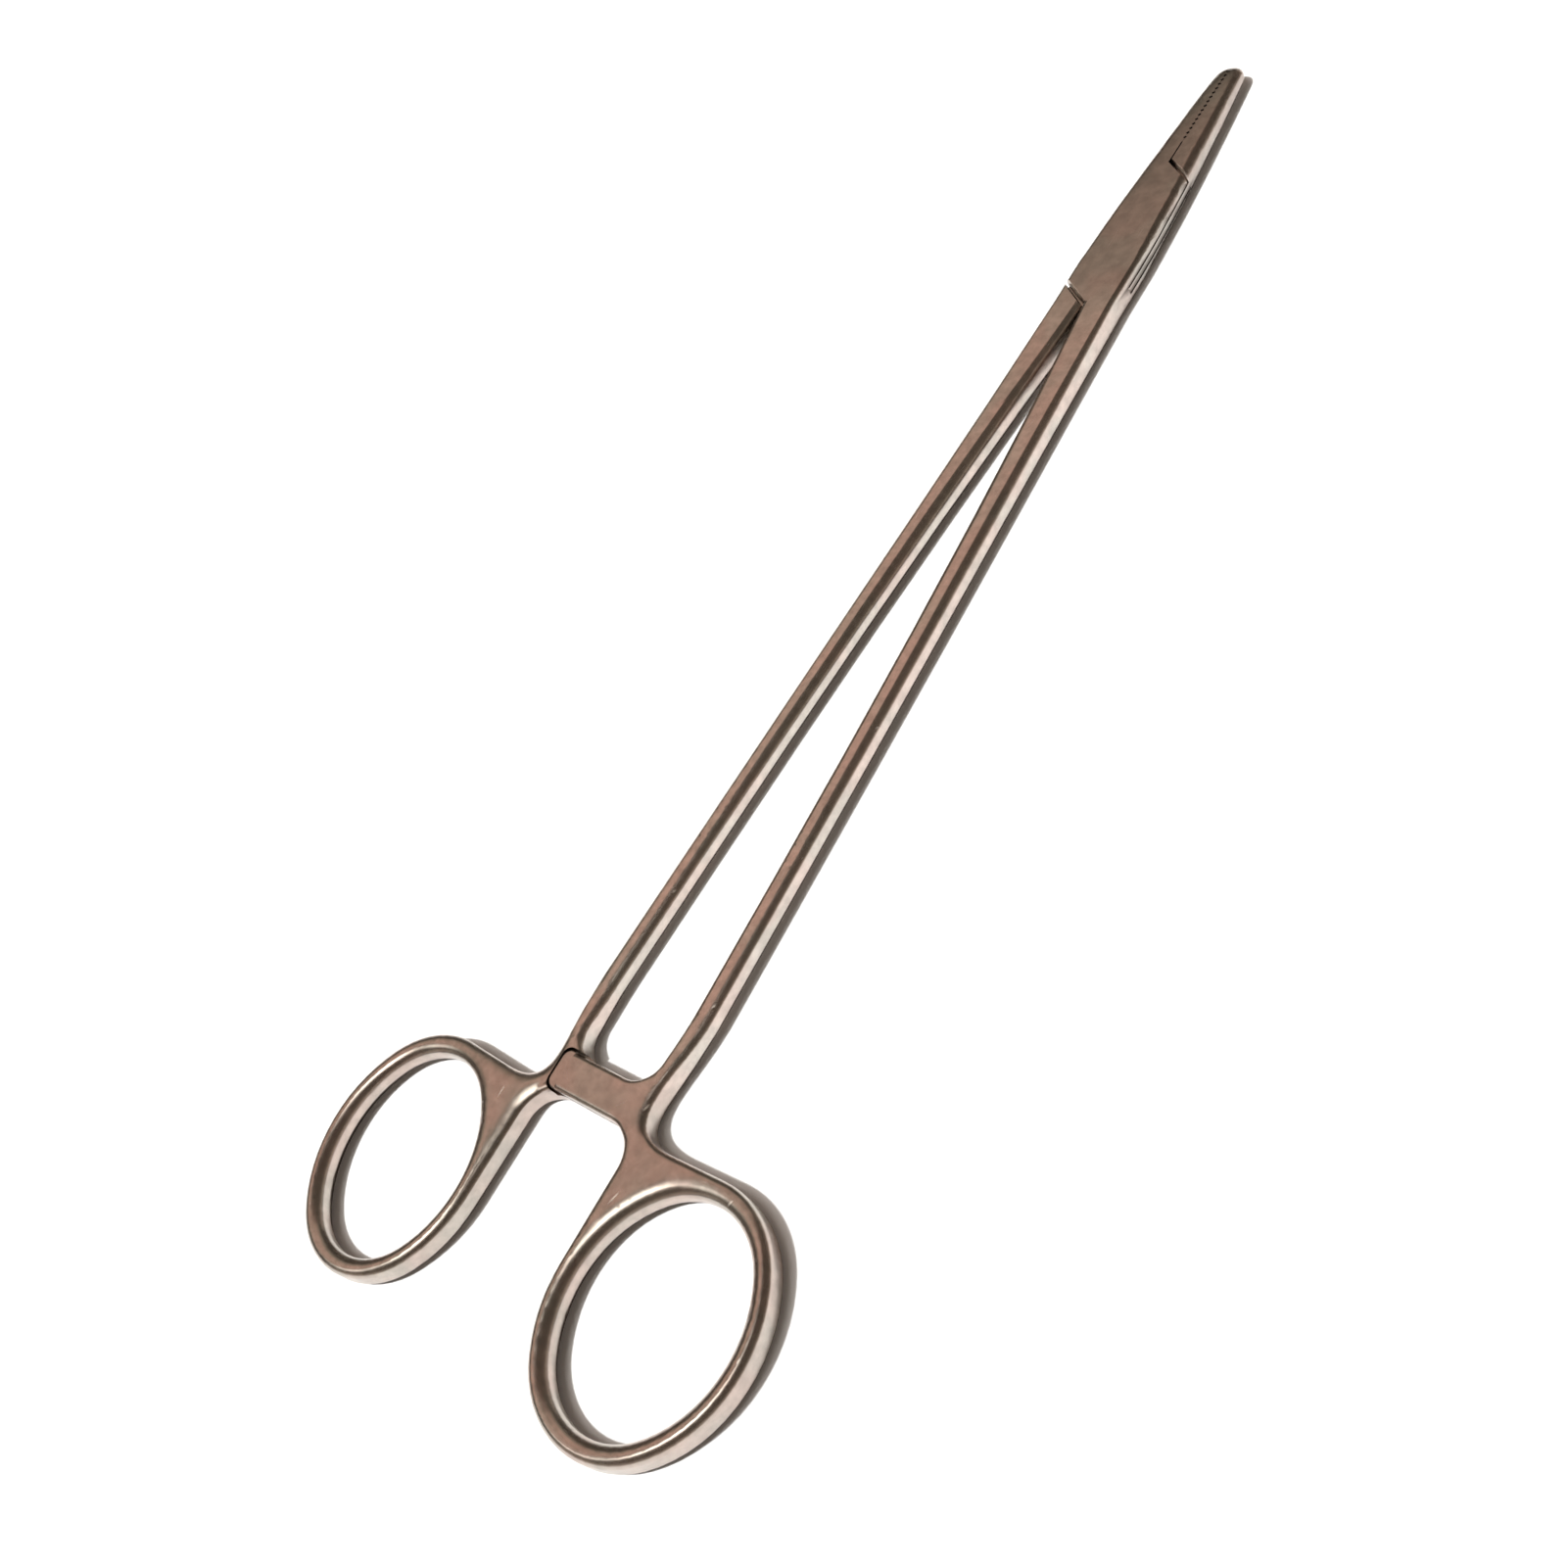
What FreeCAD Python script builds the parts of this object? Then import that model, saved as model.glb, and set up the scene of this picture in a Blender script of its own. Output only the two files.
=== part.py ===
# A straight surgical needle holder with finger rings, a box lock and a ratchet.
# Units are millimetres. The instrument lies flat, jaw tips towards +Y, and +Z is up.
# The model is drawn about its pivot, at mid thickness, and moved to its rest place at the end:
# the origin is then under the middle of the whole instrument, on the face it rests on.

import FreeCAD, Part
import math
import os

Vec = FreeCAD.Vector

# Overall sizes
overall_length = 200.0
tip_reach = 33.0             # from the pivot to the jaw tips
thickness = 3.6              # of the box lock and of the finger rings

# Box lock
box_half_width = 4.7
step_outer_reach = 9.2       # from the pivot to a slanted step, at the side of the box
step_inner_reach = 13.1      # the same at the middle of the box
step_gap = 0.3               # between a wall's slanted end and the thick part beside it
step_bevel_width = 0.25      # of the steep bevel along every slanted step
step_bevel_depth = 0.5
taper_lead = 6.0             # behind the pivot, where the taper towards the jaws begins
side_round = 0.8             # rounding of the long edges
tongue_thickness = 1.1
tongue_clearance = 0.03      # above and below the tongue
tongue_radius = 10.5         # the tongue's round ends, about the pivot
pocket_clearance = 0.1       # round those ends
tongue_rebate_depth = 0.25   # along the tongue's edges, which shows as a line on the box's sides
tongue_rebate_height = 0.2
crotch_gap = 0.12            # between the two shanks where they meet

# Pivot pin, riveted in both walls and ground flush
pin_diameter = 3.2
bore_clearance = 0.03        # on the radius, in the tongue

# Jaws
jaw_tip_half_width = 1.9     # of both jaws together, at the tip before its rounding
jaw_tip_thickness = 2.2
jaw_shoulder_width = 1.5     # width of the jaws' rounded long edges at the tip
jaw_width_power = 1.5        # how late the taper in plan sets in
jaw_thickness_power = 2.0    # the same for the taper in thickness
jaw_stations = (0, 0.12, 0.4, 0.7, 1)
tip_dome_length = 2.4
dome_stations = (0.5, 0.85, 0.97, 1)
dome_fullness = 0.998        # just under 1, so that the tip ends in a small flat
largest_round = 0.8          # share of the half width or half thickness that a rounding may take
jaw_gap = 0.04               # between the closed serrated faces
jaw_relief_gap = 0.22        # between the jaws behind the serrations
serration_start = 17.0       # from the pivot
serration_pitch = 0.9
serration_width = 0.6
serration_depth = 0.28
centre_groove_width = 0.5
centre_groove_depth = 0.25

# Shanks
shank_low_width = 2.85       # above the ratchet
shank_spread = 7.75          # the shank's centre from the middle line, above the ratchet
shank_bow = 0.09             # share of the spread by which a shank bows outwards
shank_low_thickness = 2.8
shank_above_arm = 10.0       # length above the ratchet arm that belongs to the lower blank
level_above_arm = 1.0        # part of it that keeps the full thickness
level_at_shank = 0.6         # straight and level part of it where the shank joins
level_fullness = 0.4         # how soft the change of thickness above it is
shank_spans = 6              # straight stretches that make up its bow
shoulder_spread = 0.45       # by which its rounded edges are wider where they are fullest
shoulder_drop = 0.3          # by which they are deeper there

# Ratchet arms
arm_reach = 7.0              # past the middle line
arm_width = 4.9
arm_above_web = 0.1          # from the top of the ring's web to the arm's near edge
arm_tip_round = 1.2
arm_upper_fillet = 3.5
arm_lower_fillet = 4.2
arm_recess_clearance = 0.3   # above and below the tip of the other half's arm
arm_tip_gap = 0.12           # ahead of that tip
arm_cap_length = 1.6         # end of the arm that lies flush in the other half
arm_cap_round = 0.25         # rounding of its upper edges
tooth_pitch = 1.4
tooth_height = 0.55
tooth_count = 5
tooth_overlap = 0.5          # teeth past the middle line, so that the two rows meet when closed
tooth_clearance = 0.03       # of each crest from the mid plane

# Finger rings, measured on the middle line of their section: ovals of four arcs
ring_half_width = 12.2
ring_stretch = 2.0           # by which the half length is more than the half width
ring_end_tightness = 0.6     # share of the stretch by which the end arcs' radius is less
ring_lean = 7.5              # degrees, long axis turned outwards at the top
ring_offset = 22.0           # ring centre from the middle line
ring_section = 2.5           # width of the section
hole_round = 1.1             # rounding of the finger hole's edges
web_fall = 2.5               # degrees by which the web's upper edge falls towards the shank
web_corner = 14.5            # from the middle line to where that edge turns up to the shank
web_turn = 9.3               # how far the turn swings in from that corner
web_fullness = 0.58          # how late it straightens into the shank

# For building
margin = 1.0                 # by which cutting bodies overshoot
outline_spans = 6            # straight stretches that follow the box's tapering side
tolerance = 0.01

# Worked out from the sizes above
half_thickness = thickness / 2
front_start = -taper_lead
pin_radius = pin_diameter / 2
tongue_half = tongue_thickness / 2
slot_half = tongue_half + tongue_clearance
ring_low = -(overall_length - tip_reach)
ring_half_length = ring_half_width + ring_stretch
ring_end_radius = ring_half_width - ring_stretch * ring_end_tightness
end_shift = ring_half_length - ring_end_radius
ring_side_radius = (end_shift ** 2 + ring_half_width ** 2 - ring_end_radius ** 2) / (
    2 * (ring_half_width - ring_end_radius))
side_shift = ring_side_radius - ring_half_width
arc_join = math.degrees(math.atan2(end_shift, side_shift))
lean = math.radians(ring_lean)
long_way = Vec(math.sin(lean), math.cos(lean), 0)
wide_way = Vec(math.cos(lean), -math.sin(lean), 0)
ring_rise = end_shift * long_way.y + ring_end_radius + ring_section / 2
ring_centre = Vec(ring_offset, ring_low + ring_rise, 0)
inner_side_centre = ring_centre + wide_way * side_shift
ring_inner_x = inner_side_centre.x - ring_side_radius - ring_section / 2
ring_top = ring_centre + long_way * end_shift
fall = math.radians(web_fall)
web_top = ring_top.y + (ring_end_radius + ring_section / 2) / math.cos(fall) + (
    web_corner - ring_top.x) * math.tan(fall)
arm_near = web_top + arm_above_web
arm_far = arm_near + arm_width
shank_inner_x = shank_spread - shank_low_width / 2
shank_outer_x = shank_spread + shank_low_width / 2
shank_start = -step_inner_reach
shank_end = arm_far + shank_above_arm


def prism(points, low, high):
    """A straight prism over a closed outline of plan points, from one height to another."""
    corners = [Vec(x, y, low) for x, y in points]
    return Part.Face(Part.makePolygon(corners + corners[:1])).extrude(Vec(0, 0, high - low))


def cylinder(radius, low, high):
    return Part.makeCylinder(radius, high - low, Vec(0, 0, low))


# One half behind the pivot: the box plate, the shank and the lower blank

def rounded_section(y, left, right, half_height, across, down):
    """A rectangle across the instrument as a closed wire. Its corners are quarter ovals, across
    wide and down high."""
    edges = []
    ends = []
    for sx, sz in ((1, 1), (-1, 1), (-1, -1), (1, -1)):
        x = right - across if sx > 0 else left + across
        centre = Vec(x, y, sz * (half_height - down))
        side = centre + Vec(sx * across, 0, 0)
        top = centre + Vec(0, 0, sz * down)
        if abs(across - down) < tolerance:
            middle = centre + Vec(sx * across, 0, sz * down) * math.sqrt(0.5)
            corner = Part.Arc(side, middle, top)
        else:
            longer, shorter = (side, top) if across > down else (top, side)
            corner = Part.ArcOfEllipse(Part.Ellipse(longer, shorter, centre), 0, math.pi / 2)
        edges.append(corner.toShape())
        ends.append((side, top) if sx * sz > 0 else (top, side))
    for number, (first, last) in enumerate(ends):
        edges.insert(2 * number + 1, Part.makeLine(last, ends[(number + 1) % 4][0]))
    return Part.Wire(edges)


def shank_section(share):
    """Section of the shank at a share of its length down from the box."""
    left = 1 - share
    start = (box_half_width + crotch_gap / 2) / 2
    start_width = box_half_width - crotch_gap / 2
    centre = start + (shank_spread - start) * (share + shank_bow * math.sin(math.pi * share))
    half_width = (shank_low_width + (start_width - shank_low_width) * left ** 2) / 2
    half_height = (shank_low_thickness + (thickness - shank_low_thickness) * left ** 2) / 2
    fullest = share * left ** 2 * 27 / 4
    y = shank_start + (shank_end - shank_start) * share
    return rounded_section(y, centre - half_width, centre + half_width, half_height,
                           side_round + shoulder_spread * fullest, side_round + shoulder_drop * fullest)


def shank():
    """The shank as a row of straight stretches: the bow is so slight that they meet within a
    fraction of a degree."""
    sections = [shank_section(number / shank_spans) for number in range(shank_spans + 1)]
    return Part.makeLoft(sections, True, True)


def box_plate():
    """The box behind the front cut, down to the slanted step and the shank's root."""
    points = [(-box_half_width, front_start), (-box_half_width, -step_outer_reach),
              (crotch_gap / 2, shank_start), (box_half_width, shank_start), (box_half_width, front_start)]
    plate = prism(points, -half_thickness, half_thickness)
    sides = []
    for edge in plate.Edges:
        box = edge.BoundBox
        at_side = box.XLength < tolerance and box_half_width - abs(box.XMin) < tolerance
        if at_side and box.YLength > tolerance:
            sides.append(edge)
    return plate.makeFillet(side_round, sides)


def blend(start, start_way, start_reach, end, end_way, end_reach):
    """A soft curve from one point to another that keeps the direction at both; a longer reach
    keeps it for longer."""
    first = start + Vec(start_way).normalize() * start_reach
    second = end - Vec(end_way).normalize() * end_reach
    curve = Part.BezierCurve()
    curve.setPoles([start, first, second, end])
    return curve.toShape()


def corner_arc(corner, before, after, radius):
    """A quarter round at a square corner, between the directions before and after it."""
    middle = corner + (after - before) * radius * (1 - math.sqrt(0.5))
    return Part.Arc(corner - before * radius, middle, corner + after * radius).toShape()


def arc(centre, radius, start, end):
    """An arc between two angles in degrees, measured from +X."""
    points = []
    for angle in (start, (start + end) / 2, end):
        way = math.radians(angle)
        points.append(centre + Vec(math.cos(way), math.sin(way), 0) * radius)
    return Part.Arc(*points).toShape()


def ring_arcs(offset, first, last):
    """Arcs of the ring's oval, moved out from its middle line by an offset, from the angle
    first on the inner side arc round below and outside to the angle last on the upper arc."""
    side = ring_side_radius + offset
    end = ring_end_radius + offset
    return [
        arc(inner_side_centre, side, first, 180 + arc_join - ring_lean),
        arc(ring_centre - long_way * end_shift, end, 180 + arc_join - ring_lean, 360 - arc_join - ring_lean),
        arc(ring_centre - wide_way * side_shift, side, -arc_join - ring_lean, arc_join - ring_lean),
        arc(ring_top, end, arc_join - ring_lean, last),
    ]


def finger_hole():
    join = 180 - arc_join - ring_lean
    return Part.Face(Part.Wire(Part.__sortEdges__(ring_arcs(-ring_section / 2, join, join))))


def lower_outline():
    """Plan outline of the lower end of the half whose shank is at +X: the shank's end, the
    ratchet arm, the web and the ring."""
    down = Vec(0, -1, 0)
    left = Vec(-1, 0, 0)
    right = Vec(1, 0, 0)
    shank_inner = Vec(shank_inner_x, shank_end, 0)
    shank_outer = Vec(shank_outer_x, shank_end, 0)
    shank_low = shank_outer + down * level_at_shank
    upper_corner = Vec(shank_inner_x, arm_far, 0)
    tip_far = Vec(-arm_reach, arm_far, 0)
    tip_near = Vec(-arm_reach, arm_near, 0)
    lower_corner = Vec(ring_inner_x, arm_near, 0)
    ring = ring_arcs(ring_section / 2, 180, 90 + web_fall)
    ring_start = Vec(ring_inner_x, inner_side_centre.y, 0)
    web_way = Vec(-math.cos(fall), -math.sin(fall), 0)
    web_end = Vec(web_corner, web_top, 0)

    edges = [
        Part.makeLine(shank_outer, shank_inner),
        Part.makeLine(shank_inner, upper_corner - down * arm_upper_fillet),
        corner_arc(upper_corner, down, left, arm_upper_fillet),
        Part.makeLine(upper_corner + left * arm_upper_fillet, tip_far + right * arm_tip_round),
        corner_arc(tip_far, left, down, arm_tip_round),
        Part.makeLine(tip_far + down * arm_tip_round, tip_near - down * arm_tip_round),
        corner_arc(tip_near, down, right, arm_tip_round),
        Part.makeLine(tip_near + right * arm_tip_round, lower_corner + left * arm_lower_fillet),
        corner_arc(lower_corner, right, down, arm_lower_fillet),
        Part.makeLine(lower_corner + down * arm_lower_fillet, ring_start),
        *ring,
        Part.makeLine(ring[-1].valueAt(ring[-1].LastParameter), web_end),
        blend(web_end, web_way, web_turn, shank_low, down * -1, web_fullness * (shank_low.y - web_end.y)),
        Part.makeLine(shank_low, shank_outer),
    ]
    return Part.Wire(Part.__sortEdges__(edges))


def lower_profile():
    """Side view of the lower end: the shank's thickness at its end, rising to the full
    thickness at the ratchet and the ring."""
    low = shank_low_thickness / 2
    ratchet = arm_far + level_above_arm
    back = ring_low - margin
    level = Vec(0, -1, 0)
    edges = [
        Part.makeLine(Vec(0, shank_end, low), Vec(0, shank_end, -low)),
        Part.makeLine(Vec(0, ratchet, half_thickness), Vec(0, back, half_thickness)),
        Part.makeLine(Vec(0, back, half_thickness), Vec(0, back, -half_thickness)),
        Part.makeLine(Vec(0, back, -half_thickness), Vec(0, ratchet, -half_thickness)),
    ]
    for side in (1, -1):
        start = Vec(0, shank_end - level_at_shank, side * low)
        end = Vec(0, ratchet, side * half_thickness)
        reach = level_fullness * (start.y - end.y)
        edges.append(Part.makeLine(Vec(0, shank_end, side * low), start))
        edges.append(blend(start, level, reach, end, level, reach))
    face = Part.Face(Part.Wire(Part.__sortEdges__(edges)))
    face.translate(Vec(-overall_length, 0, 0))
    return face.extrude(Vec(2 * overall_length, 0, 0))


def long_edges(body, hole, nearest, farthest):
    """The long edges of the lower end that lie between two distances from the finger hole."""
    found = []
    for edge in body.Edges:
        box = edge.BoundBox
        upright = box.XLength < tolerance and box.YLength < tolerance
        at_shank = box.YMin > shank_end - tolerance
        middle = edge.valueAt((edge.FirstParameter + edge.LastParameter) / 2)
        distance = Part.Vertex(middle.x, middle.y, 0).distToShape(hole)[0]
        if nearest < distance < farthest and not (upright or at_shank):
            found.append(edge)
    return found


def lower_blank():
    """The lower end with rounded edges and its finger hole, the ratchet still plain."""
    hole = finger_hole()
    plan = Part.Face(lower_outline()).cut(hole)
    plan.translate(Vec(0, 0, -thickness))
    body = plan.extrude(Vec(0, 0, 2 * thickness)).common(lower_profile()).Solids[0]
    body = body.makeFillet(hole_round, long_edges(body, hole, -tolerance, tolerance))
    return body.makeFillet(side_round, long_edges(body, hole, hole_round + tolerance, overall_length))


# Ratchet

def tooth_gaps():
    """The material between the teeth under an arm: each tooth has a ramp towards the arm's
    tip and a steep face towards its root."""
    start = tooth_pitch * (tooth_overlap - tooth_count)
    gaps = []
    for number in range(tooth_count):
        left = start + tooth_pitch * number
        points = [(left, tooth_clearance), (left, tooth_clearance + tooth_height),
                  (left + tooth_pitch, tooth_clearance)]
        corners = [Vec(x, arm_near - margin, z) for x, z in points]
        face = Part.Face(Part.makePolygon(corners + corners[:1]))
        gaps.append(face.extrude(Vec(0, arm_width + 2 * margin, 0)))
    return gaps


def upright_edges(block, x):
    """The upright edges of a block that stand at a place across the instrument."""
    found = []
    for edge in block.Edges:
        box = edge.BoundBox
        if box.ZLength > tolerance and abs(box.Center.x - x) < tolerance:
            found.append(edge)
    return found


def arm_cap():
    """The end of the arm, which keeps nearly its whole width up to the top."""
    low = tooth_clearance + tooth_height
    cap = Part.makeBox(arm_cap_length, arm_width, half_thickness - low, Vec(-arm_reach, arm_near, low))
    cap = cap.makeFillet(arm_tip_round, upright_edges(cap, -arm_reach))
    rim = []
    for edge in cap.Edges:
        box = edge.BoundBox
        if box.ZMin > half_thickness - tolerance and box.XMin < arm_cap_length - arm_reach - tolerance:
            rim.append(edge)
    return cap.makeFillet(arm_cap_round, rim)


def ratchet_space():
    """What is cut away below the arm, for the other half's arm and its round tip."""
    near = arm_near - arm_recess_clearance
    far = arm_far + arm_recess_clearance
    left = -arm_reach - margin
    right = arm_reach + arm_tip_gap
    space = Part.makeBox(right - left, far - near, thickness, Vec(left, near, tooth_clearance - thickness))
    return space.makeFillet(arm_tip_round, upright_edges(space, right))


def rear_half():
    """The half whose shank is at +X, behind the front of the box, with its ratchet arm cut to
    half height over the other half's arm."""
    lower = lower_blank().cut([ratchet_space()] + tooth_gaps())
    return box_plate().fuse([shank(), lower, arm_cap()])


# Jaws and the front of the box

def taper(y, power):
    """Share of the taper reached at a place ahead of the pivot."""
    return ((y - front_start) / (tip_reach - front_start)) ** power


def jaw_half_width(y):
    return box_half_width - (box_half_width - jaw_tip_half_width) * taper(y, jaw_width_power)


def jaw_half_thickness(y):
    return half_thickness - (thickness - jaw_tip_thickness) / 2 * taper(y, jaw_thickness_power)


def front_blank():
    """Both jaws and the front of the box as one tapering bar with a domed tip."""
    dome_start = tip_reach - tip_dome_length
    sections = []
    for share in jaw_stations:
        y = front_start + (dome_start - front_start) * share
        height = jaw_half_thickness(y)
        width = jaw_half_width(y)
        shoulder = side_round + (jaw_shoulder_width - side_round) * math.sqrt(share)
        across = min(shoulder, largest_round * width)
        down = min(across, largest_round * height)
        sections.append(rounded_section(y, -width, width, height, across, down))
    width = jaw_half_width(dome_start)
    height = jaw_half_thickness(dome_start)
    for share in dome_stations:
        size = math.sqrt(1 - (dome_fullness * share) ** 2)
        y = dome_start + tip_dome_length * share
        sections.append(rounded_section(y, -width * size, width * size, height * size,
                                        largest_round * width * size, largest_round * height * size))
    return Part.makeLoft(sections, True, False)


def serrations(side):
    """Grooves across a jaw's inner face, and one along its middle; side is where the jaw lies."""
    face = side * jaw_gap / 2
    proud = face - side * jaw_gap
    half = serration_width / 2
    grooves = []
    count = int((tip_reach - serration_start) / serration_pitch)
    for number in range(1, count):
        y = serration_start + serration_pitch * number
        points = [(proud, y - half), (face + side * serration_depth, y), (proud, y + half)]
        grooves.append(prism(points, -thickness, thickness))
    half = centre_groove_width / 2
    bottom = face + side * centre_groove_depth
    corners = [Vec(x, serration_start, z) for x, z in ((proud, -half), (bottom, 0), (proud, half))]
    channel = Part.Face(Part.makePolygon(corners + corners[:1]))
    grooves.append(channel.extrude(Vec(0, tip_reach - serration_start - tip_dome_length, 0)))
    return grooves


# Box lock, seen from above: the slanted steps lie at opposite corners of the box

def step_reach(x, gap):
    """How far from the pivot the slanted step lies, at a distance from the middle line, with
    a gap added square to the step."""
    slope = (step_inner_reach - step_outer_reach) / box_half_width
    return step_inner_reach - slope * x + gap * math.hypot(1, slope)


def step_bevels(side, gap, inner_x, way):
    """Wedges that bevel the upper and lower edges of a slanted step. The material lies beyond
    the step where way is 1, and towards the pivot where it is -1."""
    outer_x = box_half_width + margin
    start = Vec(inner_x, step_reach(inner_x, gap), 0) * side
    along = Vec(outer_x, step_reach(outer_x, gap), 0) * side - start
    inwards = Vec(-along.y, along.x, 0).normalize() * way
    wedges = []
    for up in (1, -1):
        outside = start - inwards * step_bevel_width
        inside = start + inwards * step_bevel_width * 2
        low = Vec(0, 0, up * (half_thickness - 2 * step_bevel_depth))
        high = Vec(0, 0, up * (half_thickness + step_bevel_depth))
        corners = [outside + low, inside + high, outside + high]
        wedges.append(Part.Face(Part.makePolygon(corners + corners[:1])).extrude(along))
    return wedges


def beyond_step(side, gap, inner_x):
    """Plan outline of what lies beyond the step on one side (-1 the shank's, at -X, and +1 the
    jaw's, at +X), from a given distance off the middle line outwards."""
    outer_x = box_half_width + margin
    far = tip_reach + margin
    corners = [(inner_x, step_reach(inner_x, gap)), (outer_x, step_reach(outer_x, gap)),
               (outer_x, far), (inner_x, far)]
    return [(side * x, side * y) for x, y in corners]


def quadrant(side, inner_x):
    """Plan outline of the quarter of the box that the tongue crosses on one side."""
    outer_x = box_half_width + margin
    far = step_inner_reach + margin
    return [(side * x, side * y) for x, y in ((inner_x, 0), (outer_x, 0), (outer_x, far), (inner_x, far))]


def box_outline(inset):
    """Plan outline of the box, its sides moved in by an inset."""
    far = step_inner_reach + margin
    right = [(box_half_width - inset, -far)]
    for number in range(outline_spans + 1):
        y = front_start + (far - front_start) * number / outline_spans
        right.append((jaw_half_width(y) - inset, y))
    return right + [(-x, y) for x, y in reversed(right)]


def tongue_zone(half_height):
    """The tongue, flat on both sides and with round ends, before the box's sides bound it."""
    round_part = cylinder(tongue_radius, -half_height, half_height)
    to_shank = prism(quadrant(-1, crotch_gap / 2), -half_height, half_height)
    to_jaw = prism(quadrant(1, jaw_relief_gap / 2), -half_height, half_height)
    return round_part.fuse([to_shank, to_jaw])


def relief_space(side):
    """The slightly wider gap between the jaws behind the serrations, cut from one jaw."""
    inner_x = side * jaw_relief_gap / 2
    far_x = -side * margin
    corners = [(inner_x, step_reach(inner_x, 0)), (far_x, step_reach(far_x, 0)),
               (far_x, serration_start), (inner_x, serration_start)]
    return prism(corners, -thickness, thickness)


def female_half(rear, front):
    """The half with the box: two walls with a slot between them for the other half's tongue."""
    cuts = [
        prism(beyond_step(1, 0, -jaw_gap / 2), -thickness, thickness),
        relief_space(-1),
        cylinder(tongue_radius + pocket_clearance, -slot_half, slot_half),
        prism(quadrant(-1, -crotch_gap / 2), -slot_half, slot_half),
        prism(quadrant(1, -jaw_relief_gap / 2), -slot_half, slot_half),
        cylinder(pin_radius, -thickness, thickness),
        *step_bevels(-1, 0, -crotch_gap / 2, -1),
        *step_bevels(1, 0, -jaw_relief_gap / 2, -1),
    ]
    return rear.fuse(front).cut(cuts + serrations(-1))


def male_half(rear, front):
    """The half whose tongue passes through the box, from its shank at -X to its jaw at +X."""
    rear = rear.copy()
    rear.rotate(Vec(0, 0, 0), Vec(0, 1, 0), 180)
    blank = rear.fuse(front)
    shank_top = -step_inner_reach - box_half_width
    corner = Vec(-overall_length, shank_top - overall_length, -thickness)
    shank_zone = Part.makeBox(2 * overall_length, overall_length, 2 * thickness, corner)
    inset = prism(box_outline(tongue_rebate_depth), -tongue_half, tongue_half)
    kept = [
        prism(beyond_step(1, step_gap, jaw_gap / 2), -thickness, thickness),
        prism(beyond_step(-1, step_gap, crotch_gap / 2), -thickness, thickness),
        shank_zone,
        tongue_zone(tongue_half - tongue_rebate_height),
        tongue_zone(tongue_half).common(inset),
    ]
    cuts = [
        relief_space(1),
        cylinder(pin_radius + bore_clearance, -thickness, thickness),
        *step_bevels(1, step_gap, 0, 1),
        *step_bevels(-1, step_gap, 0, 1),
    ]
    return blank.common(kept[0].fuse(kept[1:])).cut(cuts + serrations(1))


def pivot_pin():
    return cylinder(pin_radius, -half_thickness, half_thickness)


def move_to_rest(shape):
    """From the pivot at mid thickness to the middle of the instrument on the resting face."""
    shape.translate(Vec(0, -(tip_reach + ring_low) / 2, half_thickness))
    return shape


def main():
    rear = rear_half()
    front = front_blank()
    nodes = {
        "female_half": female_half(rear, front),
        "male_half": male_half(rear, front),
        "pivot_pin": pivot_pin(),
    }
    os.makedirs("parts", exist_ok=True)
    for name, shape in nodes.items():
        move_to_rest(shape).exportStep("parts/" + name + ".step")
        print(name, "solids:", len(shape.Solids), "valid:", shape.isValid(), "volume: %.1f" % shape.Volume)


main()
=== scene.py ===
"""Straight needle holder in satin-ground stainless steel: its looks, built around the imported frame.

Run as a script. Each operator dresses one piece or sets the stage, and main() calls them in order. The frame is in
metres with Z up; sizes in the material and on the panel are in millimetres where they say so.
"""

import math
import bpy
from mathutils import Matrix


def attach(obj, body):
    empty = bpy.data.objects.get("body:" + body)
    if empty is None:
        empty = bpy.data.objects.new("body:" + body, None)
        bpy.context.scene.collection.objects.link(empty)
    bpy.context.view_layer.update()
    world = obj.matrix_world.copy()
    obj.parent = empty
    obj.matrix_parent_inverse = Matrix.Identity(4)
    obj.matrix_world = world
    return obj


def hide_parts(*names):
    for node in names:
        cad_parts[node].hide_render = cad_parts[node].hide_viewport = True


bl_info = {
    "name": "Straight needle holder",
    "version": (1, 0, 0),
    "blender": (4, 5, 0),
    "location": "View3D > Sidebar > Needle holder",
    "description": "Dresses the packed needle holder in satin-ground steel and sets it on a white table",
    "category": "Object",
}

import bmesh
import bpy
import mathutils
import mathutils.kdtree
import numpy as np
from bpy.props import FloatProperty, FloatVectorProperty, IntProperty, PointerProperty

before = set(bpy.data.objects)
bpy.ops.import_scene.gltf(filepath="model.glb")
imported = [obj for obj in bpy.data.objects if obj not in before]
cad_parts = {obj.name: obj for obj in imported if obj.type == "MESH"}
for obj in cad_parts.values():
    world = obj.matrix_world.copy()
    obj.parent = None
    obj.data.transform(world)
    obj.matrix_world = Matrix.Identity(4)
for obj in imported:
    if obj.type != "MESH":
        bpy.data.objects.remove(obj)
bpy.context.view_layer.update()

MM = 0.001


def linear(hex_colour):
    """The linear red, green and blue of an sRGB colour written as six hex digits."""
    parts = [int(hex_colour[place : place + 2], 16) / 255 for place in (0, 2, 4)]
    return tuple(p / 12.92 if p <= 0.04045 else ((p + 0.055) / 1.055) ** 2.4 for p in parts)


def opaque(hex_colour):
    """The same with a full alpha."""
    return (*linear(hex_colour), 1.0)


def add_node(tree, kind, settings=None, values=None, links=None):
    """Adds one node: settings are its own properties, values its unlinked inputs, links the sockets that feed it."""
    made = tree.nodes.new(kind)
    for name, value in (settings or {}).items():
        setattr(made, name, value)
    for name, value in (values or {}).items():
        made.inputs[name].default_value = value
    for name, socket in (links or {}).items():
        tree.links.new(socket, made.inputs[name])
    return made


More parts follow.
